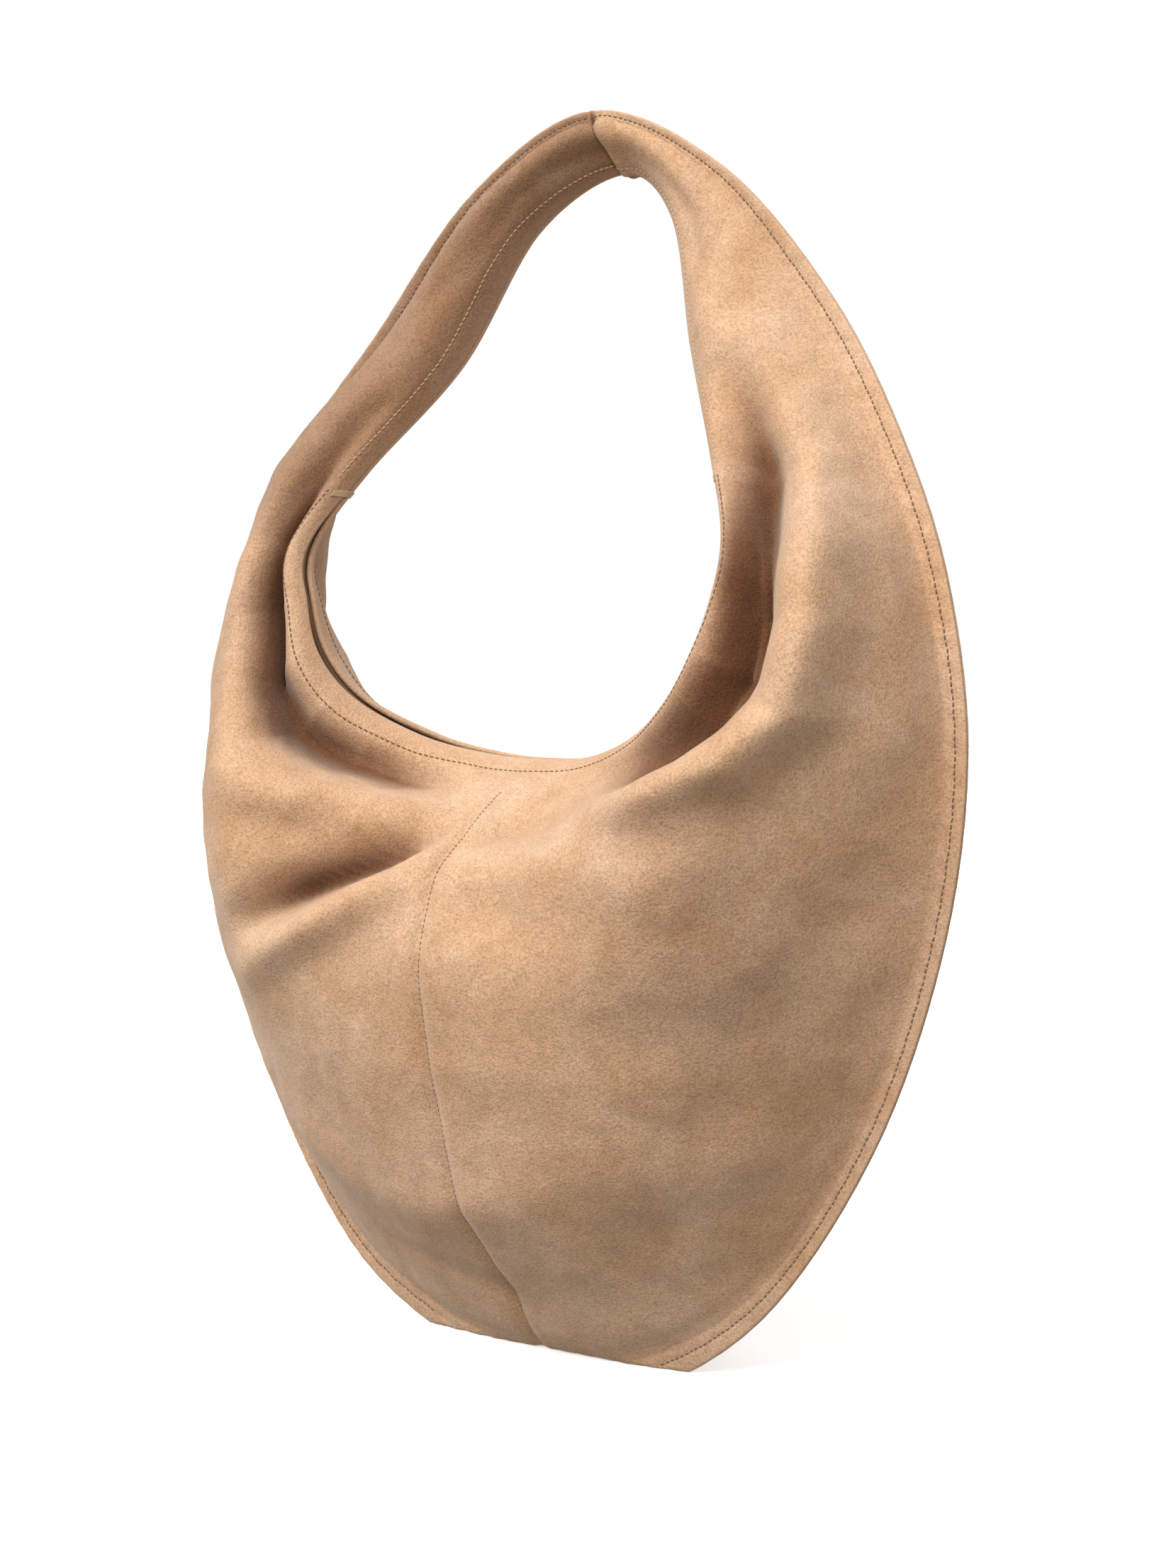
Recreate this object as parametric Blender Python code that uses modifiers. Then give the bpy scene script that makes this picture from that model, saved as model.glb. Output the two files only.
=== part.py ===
"""Suede hobo bag: one ring of four half panels, whose narrow upper part is the shoulder strap.

Metres, +Z up, front at -Y. The origin is on the floor under the middle of the bag.
Every sheet is laid out on the same two running values:
  k  from 0 at the centre seam, round the side, to 10 at the top of the strap; negative on the left
  v  from 0 at the outer seam to 1 at the inner edge, which is the lip of the mouth below the tacks
"""

import bmesh
import bpy
import numpy as np
from mathutils import Matrix, Vector

# ---- driving dimensions -----------------------------------------------------------------------
SUEDE = 0.0016
FACING = 0.0012
LINING = 0.0008
TAPE = 0.0012
THREAD = 0.0005
GAP = 0.0003
HALF_BUILD = 0.0013
SEAM_GAP = 0.0004

HEM = 0.0100
LIP_STITCH = 0.0050
FACING_WIDTH = 0.0280
FULL_WIDTH = 0.1200

FLANGE = 0.0105
NARROW = 0.20
STITCH_IN_FLANGE = 0.67
FLOOR_PRESS = 0.0180
PRESS_HEIGHT = 0.0250
SPREAD = 0.5
SHIFT_Y = 0.0048

TACK_K = 6.80
STRAP_K = 7.22
TOP_K = 10.0

MAGNET_RADIUS = 0.0080
MAGNET_THICK = 0.0020

FRONT = -1
BACK = 1

# One row per station of the right half, from the base to the top of the strap:
# outer seam x, y, z; inner edge x, y of the front lip, y of the back lip, z;
# swell of the front and of the back, and where along v the swell is greatest.
STATIONS = np.array([
    (0.000, 0.000, 0.000, 0.000, -0.007, 0.006, 0.288, 0.097, 0.088, 0.66),
    (0.062, 0.000, 0.000, 0.030, -0.008, 0.005, 0.290, 0.095, 0.088, 0.64),
    (0.125, 0.000, 0.039, 0.062, -0.018, -0.004, 0.301, 0.088, 0.086, 0.62),
    (0.177, 0.000, 0.116, 0.093, -0.036, -0.022, 0.318, 0.074, 0.082, 0.60),
    (0.211, 0.000, 0.205, 0.113, -0.046, -0.032, 0.337, 0.056, 0.074, 0.57),
    (0.223, 0.000, 0.292, 0.125, -0.046, -0.034, 0.364, 0.041, 0.062, 0.53),
    (0.211, 0.005, 0.370, 0.127, -0.040, -0.030, 0.392, 0.030, 0.042, 0.50),
    (0.184, 0.014, 0.437, 0.104, -0.015, -0.013, 0.430, 0.018, 0.020, 0.50),
    (0.139, 0.032, 0.508, 0.070, 0.019, 0.021, 0.485, 0.015, 0.016, 0.50),
    (0.077, 0.041, 0.576, 0.037, 0.046, 0.048, 0.548, 0.009, 0.009, 0.50),
    (0.000, 0.043, 0.604, 0.000, 0.058, 0.060, 0.576, 0.005, 0.005, 0.50),
])
MIRROR_X = np.array((-1, 1, 1, -1, 1, 1, 1, 1, 1, 1))

# How fast the swell rises from the outer seam, by station: a power, and one over a second power.
RISE_STATIONS = (0, 2, 4, 6, 8, 10)
RISE_POWER = (2.0, 1.8, 1.5, 1.5, 1.8, 2.0)
RISE_ROUND = (1.3, 1.2, 1.0, 1.0, 1.2, 1.3)
FALL_POWER = 2.3
FALL_ROUND = 1.05

# Lines of the grids: shares of the way from the edge stitch to the facing, then of the facing.
PANEL_LINES = (0.0, 0.03, 0.08, 0.17, 0.31, 0.47, 0.65, 0.83, 1.0)
STRAP_LINES = (0.0, 0.33, 0.67, 1.0)
BODY_COLUMNS = 14
STRAP_COLUMNS = 9


# ---- the shape of the bag ---------------------------------------------------------------------
def smooth(t):
    t = np.clip(t, 0, 1)
    return t * t * (3 - 2 * t)


def station(k):
    """The values of STATIONS at k, on a smooth curve that runs level through the middle of the bag."""
    rows = np.vstack([STATIONS[1] * MIRROR_X, STATIONS, STATIONS[-2] * MIRROR_X])
    k = np.clip(k, 0, TOP_K - 1e-9)
    i = k.astype(int)
    s = (k - i)[..., None]
    a, b, c, d = rows[i], rows[i + 1], rows[i + 2], rows[i + 3]
    slope = (c - a) * s
    bend = (2 * a - 5 * b + 4 * c - d) * s ** 2
    twist = (3 * b - a - 3 * c + d) * s ** 3
    return 0.5 * (2 * b + slope + bend + twist)


def width(k):
    """Distance across the sheet from the outer seam to the inner edge, in the bag's plane."""
    row = station(np.abs(k))
    return np.hypot(row[..., 0] - row[..., 3], row[..., 2] - row[..., 6])


def fold_line(k):
    """v of the inner side of the sewn flange, which takes a fifth of the sheet where it is narrow."""
    return np.minimum(FLANGE / width(k), NARROW)


def hem_line(k):
    """v of the outer side of the hem along the inner edge."""
    return 1 - np.minimum(HEM / width(k), NARROW)


def swell(k, w, crest):
    """Share of the greatest swell at w: a quick rise from the outer seam, a crest, a fall to the lip."""
    power = np.interp(k, RISE_STATIONS, RISE_POWER)
    rounding = np.interp(k, RISE_STATIONS, RISE_ROUND)
    rise = np.clip(w / crest, 0, 1)
    fall = np.clip((w - crest) / (1 - crest), 0, 1)
    up = (1 - (1 - rise) ** power) ** (1 / rounding)
    down = np.clip(1 - fall ** FALL_POWER, 0, 1) ** (1 / FALL_ROUND)
    return np.where(w < crest, up, down)


def middle(face, k, v):
    """Points on the middle of the suede."""
    side = np.where(k < 0, -1.0, 1.0)
    k = np.abs(k)
    row = station(k)
    ox, oy, oz, ix, front_y, back_y, iz, front_h, back_h, crest = np.moveaxis(row, -1, 0)
    inner_y, height = (front_y, front_h) if face == FRONT else (back_y, back_h)
    flange = fold_line(k)
    w = np.clip((v - flange) / (1 - flange), 0, 1)
    x = ox + (ix - ox) * v
    y = oy + (inner_y - oy) * smooth(w) + face * (height * swell(k, w, crest) + HALF_BUILD)
    free_z = np.maximum(oz, 0) + (iz - np.maximum(oz, 0)) * v
    z = np.maximum(free_z - FLOOR_PRESS * np.exp(-free_z / PRESS_HEIGHT), 0)
    y = y + face * SPREAD * (free_z - z) * np.clip(v / flange, 0, 1)
    return np.stack([side * x, y + SHIFT_Y, z + SUEDE / 2], -1)


def outward(face, k, v):
    """Unit normals that point out of the bag."""
    step = 0.01
    along = middle(face, k + step, v) - middle(face, k - step, v)
    low, high = np.maximum(v - step, 0), np.minimum(v + step, 1)
    across = middle(face, k, high) - middle(face, k, low)
    normal = np.cross(along, across) * -face
    return normal / np.linalg.norm(normal, axis=-1, keepdims=True)


def layer(face, k, v, out=0.0):
    """Points on a layer that lies out metres outside the middle of the suede."""
    k, v = np.asarray(k, float), np.asarray(v, float)
    return middle(face, k, v) + out * outward(face, k, v)


def facing_line(k):
    """v of the facing's lower edge, narrower where the panel itself is narrow."""
    return 1 - FACING_WIDTH * np.minimum(1, width(k) / FULL_WIDTH) / width(k)


def panel_lines(k):
    """v of each grid line of a body panel at k."""
    fold = fold_line(k)
    facing = facing_line(k)
    outer = [fold + (facing - fold) * share for share in PANEL_LINES]
    return np.stack([0 * k] + outer + [hem_line(k), 0 * k + 1], -1)


def strap_lines(k):
    """v of each grid line of a strap panel at k."""
    fold = fold_line(k)
    inner = hem_line(k)
    mid = [fold + (inner - fold) * share for share in STRAP_LINES]
    return np.stack([0 * k] + mid + [0 * k + 1], -1)


# ---- making the pieces ------------------------------------------------------------------------
def clear_scene():
    for item in list(bpy.data.objects):
        bpy.data.objects.remove(item, do_unlink=True)


def principled(name, colour, roughness, metallic=0.0):
    material = bpy.data.materials.new(name)
    material.use_nodes = True
    shader = material.node_tree.nodes["Principled BSDF"]
    shader.inputs["Base Color"].default_value = (*colour, 1)
    shader.inputs["Roughness"].default_value = roughness
    shader.inputs["Metallic"].default_value = metallic
    return material


def add(name, data, material):
    item = bpy.data.objects.new(name, data)
    data.materials.append(material)
    PARTS.objects.link(item)
    return item


def sheet(name, points, thick, material, face):
    """A cut sheet of the given thickness, from a grid of points on its middle."""
    columns, lines = points.shape[:2]
    bm = bmesh.new()
    grid = [[bm.verts.new(p) for p in column] for column in points]
    for i in range(columns - 1):
        for j in range(lines - 1):
            corners = [grid[i][j], grid[i + 1][j], grid[i + 1][j + 1], grid[i][j + 1]]
            bm.faces.new(corners if face == FRONT else corners[::-1])
    mesh = bpy.data.meshes.new(name)
    bm.to_mesh(mesh)
    bm.free()
    item = add(name, mesh, material)
    solid = item.modifiers.new("thickness", "SOLIDIFY")
    solid.thickness = thick
    solid.offset = 0
    solid.use_even_offset = True
    mesh.shade_smooth()
    return item


def thread(name, points, material, radius=THREAD):
    """A sewn thread as one fine cord along its points."""
    curve = bpy.data.curves.new(name, "CURVE")
    curve.dimensions = "3D"
    line = curve.splines.new("POLY")
    line.points.add(len(points) - 1)
    for target, point in zip(line.points, points):
        target.co = (*point, 1)
    curve.bevel_depth = radius
    curve.bevel_resolution = 0
    curve.use_fill_caps = True
    return add(name, curve, material)


def disc(name, centre, normal, radius, thick, material):
    """A flat round disc with its axis along normal."""
    bm = bmesh.new()
    bmesh.ops.create_cone(bm, cap_ends=True, segments=24, radius1=radius, radius2=radius, depth=thick)
    mesh = bpy.data.meshes.new(name)
    bm.to_mesh(mesh)
    bm.free()
    item = add(name, mesh, material)
    turn = Vector((0, 0, 1)).rotation_difference(Vector(normal)).to_matrix().to_4x4()
    item.matrix_world = Matrix.Translation(Vector(centre)) @ turn
    return item


def half_panel(name, face, side, k, lines, material):
    """One half panel on one side of the bag, which stops short of the other half at the middle."""
    v = lines(k)
    points = layer(face, np.repeat(k[:, None], v.shape[1], 1), v)
    points[..., 0] = np.maximum(points[..., 0], SEAM_GAP) * side
    sheet(name, points, SUEDE, material, face * side)


def inner_layer(name, face, columns, lines, out, thick, material):
    """A sheet that lines one face from side to side, with its lines given by a function of k."""
    k = np.concatenate([-columns[:0:-1], columns])
    v = lines(k)
    points = layer(face, np.repeat(k[:, None], v.shape[1], 1), v, out)
    sheet(name, points, thick, material, face)


def ring_points(face, distance_to_v, out):
    """Points along the strap from the left, over the top, to the right."""
    left = layer(face, -STRAP_ROWS, distance_to_v(STRAP_ROWS), out)
    right = layer(face, STRAP_ROWS, distance_to_v(STRAP_ROWS), out)
    top = (left[-1:] + right[-1:]) / 2
    return np.concatenate([left[:-1], top, right[-2::-1]])


def edge_stitch(k):
    return STITCH_IN_FLANGE * fold_line(k)


def lip_stitch(k):
    return 1 - LIP_STITCH / HEM * (1 - hem_line(k))


clear_scene()
PARTS = bpy.data.collections.new("hobo_bag")
bpy.context.scene.collection.children.link(PARTS)

sand_suede = principled("sand_suede", (0.52, 0.33, 0.20), 0.95)
tan_leather = principled("tan_leather", (0.45, 0.28, 0.15), 0.45)
cotton = principled("cotton_lining", (0.50, 0.38, 0.26), 0.90)
tape = principled("cotton_tape", (0.75, 0.70, 0.62), 0.90)
polyester = principled("polyester_thread", (0.38, 0.24, 0.14), 0.60)
nickel = principled("nickel", (0.70, 0.69, 0.67), 0.30, 1.0)

BODY_ROWS = np.linspace(0, TACK_K, BODY_COLUMNS)
STRAP_ROWS = np.linspace(STRAP_K, TOP_K, STRAP_COLUMNS)
ON_TOP = SUEDE / 2 + 2 * GAP + THREAD
SIDES = (("left", -1), ("right", 1))
FACES = (("front", FRONT), ("back", BACK))

# ---- the four half panels of suede, each in a bag part and a strap part -------------------------
for face_name, face in FACES:
    for side_name, side in SIDES:
        half_panel(f"{face_name}_panel_{side_name}", face, side, BODY_ROWS, panel_lines, sand_suede)
        half_panel(f"{face_name}_strap_{side_name}", face, side, STRAP_ROWS, strap_lines, sand_suede)

# ---- smooth leather facings inside the two lips -------------------------------------------------
FACING_OUT = -(SUEDE / 2 + 3 * GAP + FACING / 2)
FACING_EDGE = 0.0010


def facing_lines(k):
    facing = facing_line(k)
    return np.stack([facing, hem_line(k), 1 - FACING_EDGE / width(k)], -1)


for face_name, face in FACES:
    rows = BODY_ROWS[:-1]
    inner_layer(f"{face_name}_facing", face, rows, facing_lines, FACING_OUT, FACING, tan_leather)

# ---- cotton lining of each face, and a slip pocket on the back lining ---------------------------
LINING_OUT = -0.0045
POCKET_OUT = -0.0070
LINING_TO_FACING = 0.0030


def lining_lines(k):
    fold = fold_line(k)
    top = facing_line(k) - LINING_TO_FACING / width(k)
    return np.stack([fold + (top - fold) * share for share in PANEL_LINES[3:]], -1)


def pocket_lines(k):
    return lining_lines(k)[..., 1:-1]


for face_name, face in FACES:
    rows = BODY_ROWS[:-2]
    inner_layer(f"{face_name}_lining", face, rows, lining_lines, LINING_OUT, LINING, cotton)
inner_layer("inner_pocket", BACK, BODY_ROWS[:5], pocket_lines, POCKET_OUT, LINING, cotton)

# ---- magnetic snap halves behind the middle of each lip -----------------------------------------
MAGNET_OUT = FACING_OUT - FACING / 2 - MAGNET_THICK / 2 - 0.0012
for face_name, face in FACES:
    middle_v = (1 + facing_line(0.0)) / 2
    centre = layer(face, 0.0, middle_v, MAGNET_OUT)
    normal = outward(face, np.array(0.0), np.array(middle_v))
    disc(f"{face_name}_magnet", centre, normal, MAGNET_RADIUS, MAGNET_THICK, nickel)

# ---- stay tapes inside the strap ----------------------------------------------------------------
STAY_LINES = (0.38, 0.50, 0.62)
for side_name, side in SIDES:
    k, v = np.meshgrid(STRAP_ROWS, STAY_LINES, indexing="ij")
    points = (layer(FRONT, k, v) + layer(BACK, k, v)) / 2
    points[..., 0] = np.maximum(points[..., 0], SEAM_GAP) * side
    sheet(f"strap_stay_{side_name}", points, TAPE, tape, FRONT * side)

# ---- topstitching -------------------------------------------------------------------------------
FIRST_STITCH = 4
for face_name, face in FACES:
    for side_name, side in SIDES:
        rows = BODY_ROWS[FIRST_STITCH:]
        points = layer(face, side * rows, edge_stitch(rows), ON_TOP)
        thread(f"{face_name}_edge_thread_{side_name}", points, polyester)
    rows = np.concatenate([-BODY_ROWS[:0:-1], BODY_ROWS])[1:-1]
    thread(f"{face_name}_lip_thread", layer(face, rows, lip_stitch(rows), ON_TOP), polyester)
    thread(f"{face_name}_strap_edge_thread", ring_points(face, edge_stitch, ON_TOP), polyester)
    thread(f"{face_name}_strap_inner_thread", ring_points(face, lip_stitch, ON_TOP), polyester)

# ---- seam threads down the middle of each face and across the top of the strap ------------------
for face_name, face in FACES:
    lines = panel_lines(np.array(0.0))[4:-2]
    points = layer(face, 0 * lines, lines, ON_TOP)
    points[:, 0] = 0
    thread(f"{face_name}_centre_thread", points, polyester)
    lines = strap_lines(np.array(TOP_K))[2:-2]
    points = layer(face, 0 * lines + TOP_K, lines, ON_TOP)
    points[:, 0] = 0
    thread(f"{face_name}_top_thread", points, polyester)

# ---- bar tacks that close the two ends of the mouth ---------------------------------------------
TACK_THREAD = 0.0007
TACK_LEG = 0.0040
TACK_OUT = SUEDE / 2 + 2 * GAP + TACK_THREAD
TACK_CLEAR = 0.0030
for side_name, side in SIDES:
    k = side * (TACK_K - 0.08)
    leg = 1 - TACK_LEG / width(k)
    points = []
    for face in (FRONT, BACK):
        edge = layer(face, k, 1.0, TACK_OUT)
        foot = layer(face, k, leg, TACK_OUT)
        reach = (edge - foot) / np.linalg.norm(edge - foot)
        points += [foot, edge + reach * TACK_CLEAR]
    thread(f"bar_tack_{side_name}", [points[0], points[1], points[3], points[2]], polyester, TACK_THREAD)
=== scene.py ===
"""The looks of a suede hobo bag: one ring of four half panels, whose narrow upper part is the shoulder strap.

Metres, +Z up, front at -Y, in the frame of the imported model. Every sheet of the bag is laid out on two
running values: k from 0 at the centre seam, round the side, to 10 at the top of the strap, negative on
the left; v from 0 at the outer seam to 1 at the inner edge, which is the lip of the mouth on the bag.
"""

import math

import bpy
import numpy as np
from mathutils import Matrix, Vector


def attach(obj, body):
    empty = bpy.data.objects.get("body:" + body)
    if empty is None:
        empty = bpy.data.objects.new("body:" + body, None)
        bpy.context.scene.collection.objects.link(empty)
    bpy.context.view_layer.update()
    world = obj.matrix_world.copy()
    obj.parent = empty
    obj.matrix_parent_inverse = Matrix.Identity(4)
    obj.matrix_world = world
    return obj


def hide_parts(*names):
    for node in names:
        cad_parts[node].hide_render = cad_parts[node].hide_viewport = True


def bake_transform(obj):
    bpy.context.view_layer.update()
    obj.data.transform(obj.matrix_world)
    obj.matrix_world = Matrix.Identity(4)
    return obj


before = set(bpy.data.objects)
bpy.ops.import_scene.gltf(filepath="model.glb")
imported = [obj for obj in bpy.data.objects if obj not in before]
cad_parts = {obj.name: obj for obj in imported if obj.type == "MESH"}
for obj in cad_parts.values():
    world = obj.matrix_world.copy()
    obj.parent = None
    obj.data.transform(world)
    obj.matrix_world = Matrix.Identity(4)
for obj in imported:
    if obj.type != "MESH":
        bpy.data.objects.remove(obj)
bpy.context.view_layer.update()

# ---- Studio -------------------------------------------------------------------------------------
# A pale seamless floor in a white room, with one large soft lamp above in front, a little to the left,
# a weak one at the right and one behind. The camera stands a little above the bag's middle, round to
# its right.
STAND = Vector((0.6998, -0.9946, 0.350))
TURN_LEFT = math.radians(34.089)
TILT_DOWN = math.radians(3.431)


def in_scene(name, data):
    """An object with the given data, standing in the scene."""
    made = bpy.data.objects.new(name, data)
    bpy.context.scene.collection.objects.link(made)
    return made


lens = bpy.data.cameras.new("camera")
lens.lens = 57.7
lens.sensor_width = 36.0
camera = in_scene("camera", lens)
camera.location = STAND
camera.rotation_euler = (math.radians(90) - TILT_DOWN, 0, TURN_LEFT)
bpy.context.scene.camera = camera


def wide_sun(name, heading, spread, strength):
    """A large far softbox: even light from one side, with soft-edged shadows."""
    light = bpy.data.lights.new(name, "SUN")
    light.angle = math.radians(spread)
    light.energy = strength
    in_scene(name, light).rotation_euler = (-Vector(heading)).to_track_quat("-Z", "Y").to_euler()


wide_sun("key_softbox", (-0.16, -0.68, 0.78), 55, 4.1)
wide_sun("side_fill", (0.90, -0.60, 0.40), 60, 0.85)
wide_sun("back_softbox", (-0.4, 0.8, 0.8), 70, 1.4)

room = bpy.data.worlds.new("white_room")
room.use_nodes = True
walls = room.node_tree.nodes["Background"]
walls.inputs["Strength"].default_value = 1.0
seen = room.node_tree.nodes.new("ShaderNodeLightPath")
tone = room.node_tree.nodes.new("ShaderNodeValToRGB")
room.node_tree.links.new(seen.outputs["Is Camera Ray"], tone.inputs[0])
room.node_tree.links.new(tone.outputs[0], walls.inputs["Color"])
tone.color_ramp.elements[0].color = (0.300, 0.292, 0.284, 1)
tone.color_ramp.elements[1].color = (1.0, 1.0, 1.0, 1)
bpy.context.scene.world = room
bpy.context.scene.view_settings.view_transform = "Standard"


def blank_finish(name):
    """A new material, with its node tree and its shader."""
    material = bpy.data.materials.new(name)
    material.use_nodes = True
    return material, material.node_tree, material.node_tree.nodes["Principled BSDF"]


FLOOR = 6.0
floor_paint, _, floor_shader = blank_finish("white_sweep")
floor_shader.inputs["Base Color"].default_value = (0.93, 0.93, 0.93, 1)
floor_shader.inputs["Roughness"].default_value = 0.9
floor_shader.inputs["Emission Color"].default_value = (1.0, 1.0, 1.0, 1)
floor_shader.inputs["Emission Strength"].default_value = 0.40
floor_mesh = bpy.data.meshes.new("floor")
floor_mesh.from_pydata([(-FLOOR, -FLOOR, 0), (FLOOR, -FLOOR, 0), (FLOOR, FLOOR, 0), (-FLOOR, FLOOR, 0)],
                       [], [(0, 1, 2, 3)])
floor_mesh.materials.append(floor_paint)
floor = in_scene("floor", floor_mesh)
floor.visible_diffuse = False

# ---- Half panels --------------------------------------------------------------------------------
# Four crescents of sand suede, 1.4 mm thick: two make the front and two the back. Each is one piece
# from the base to the top of the strap. Front and back are sewn flat together round the outside, and
# the inner edge is folded over as a hem. Paper inside fills the belly; the suede sags and folds.
SUEDE = 0.0014
FLANGE = 0.0120
HEM = 0.0100
# the greatest share of the strap's width that its flange, or its hem, may take
NARROW = 0.20
# from the plane of the outer seam to the middle of either face's suede
HALF_BUILD = 0.0009
# how far the base is pressed down on the floor, up to about what height, and how far it gives way sideways
FLOOR_PRESS = 0.0180
PRESS_HEIGHT = 0.0250
SPREAD = 0.5
# the whole bag stands this much further back
SHIFT_Y = 0.0048
TOP_K = 10.0
FRONT = -1
BACK = 1
FACES = (("front", FRONT), ("back", BACK))
SIDES = (("left", -1), ("right", 1))

# One row per station of a half, from the base to the top of the strap: outer seam x, y, z; inner edge
# x, y of the front lip, y of the back lip, z; swell of the front, of the back; its crest along v.
STATIONS = np.array([
    (0.000, 0.000, 0.000, 0.000, -0.007, 0.006, 0.288, 0.097, 0.088, 0.66),
    (0.062, 0.000, 0.004, 0.030, -0.008, 0.005, 0.290, 0.095, 0.088, 0.64),
    (0.125, 0.000, 0.039, 0.062, -0.018, -0.004, 0.301, 0.088, 0.086, 0.62),
    (0.178, 0.000, 0.115, 0.092, -0.036, -0.022, 0.319, 0.074, 0.082, 0.60),
    (0.211, 0.000, 0.205, 0.110, -0.046, -0.032, 0.338, 0.056, 0.074, 0.57),
    (0.223, 0.000, 0.292, 0.121, -0.046, -0.034, 0.364, 0.041, 0.062, 0.53),
    (0.211, 0.005, 0.370, 0.123, -0.040, -0.030, 0.392, 0.030, 0.042, 0.50),
    (0.183, 0.014, 0.437, 0.102, -0.015, -0.013, 0.430, 0.018, 0.020, 0.50),
    (0.136, 0.032, 0.506, 0.070, 0.019, 0.021, 0.485, 0.015, 0.016, 0.50),
    (0.072, 0.041, 0.572, 0.042, 0.046, 0.048, 0.552, 0.009, 0.009, 0.50),
    (-0.003, 0.043, 0.606, 0.0045, 0.058, 0.060, 0.578, 0.005, 0.005, 0.50),
])
# What the left half differs by, as it hangs: its outer edge is turned back from the belly to the strap,
# and the front rolls over it more fully; the lips lie closer together, and the back is flatter.
LEFT_MORE = np.zeros_like(STATIONS)
LEFT_MORE[1, 2] = 0.004
LEFT_MORE[2:4, 6] = -0.003
LEFT_MORE[4:10, 0] = (-0.004, -0.002, -0.005, 0.009, 0.002, 0.001)
LEFT_MORE[4:10, 1] = (0.004, 0.012, 0.018, 0.018, 0.010, -0.002)
LEFT_MORE[4:10, 3] = (-0.002, -0.005, -0.003, 0.003, 0.003, -0.001)
LEFT_MORE[3:10, 4] = (0.002, 0.003, 0.003, 0.002, 0.004, 0.008, 0.003)
LEFT_MORE[3:10, 5] = (-0.002, -0.003, -0.003, -0.002, 0.004, 0.008, 0.003)
LEFT_MORE[3:10, 7] = (0.004, 0.003, 0.000, 0.008, 0.021, 0.014, 0.008)
LEFT_MORE[5:8, 8] = (-0.012, -0.018, -0.005)
LEFT_MORE[5:9, 9] = (-0.06, -0.13, -0.14, -0.08)
# The seam across the top of the strap runs aslant.
LEFT_MORE[10, 0] = 0.006
LEFT_MORE[10, 3] = -0.009
MIRROR_X = np.array((-1, 1, 1, -1, 1, 1, 1, 1, 1, 1))
# How quickly and how roundly the swell rises from the outer seam at these stations, and falls to the lip.
RISE_STATIONS = (0, 2, 4, 6, 8, 10)
RISE_POWER = (2.0, 1.8, 1.5, 1.5, 1.8, 2.0)
RISE_ROUND = (1.3, 1.2, 1.0, 1.0, 1.2, 1.3)
FALL_POWER = 2.3
FALL_ROUND = 1.05

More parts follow.
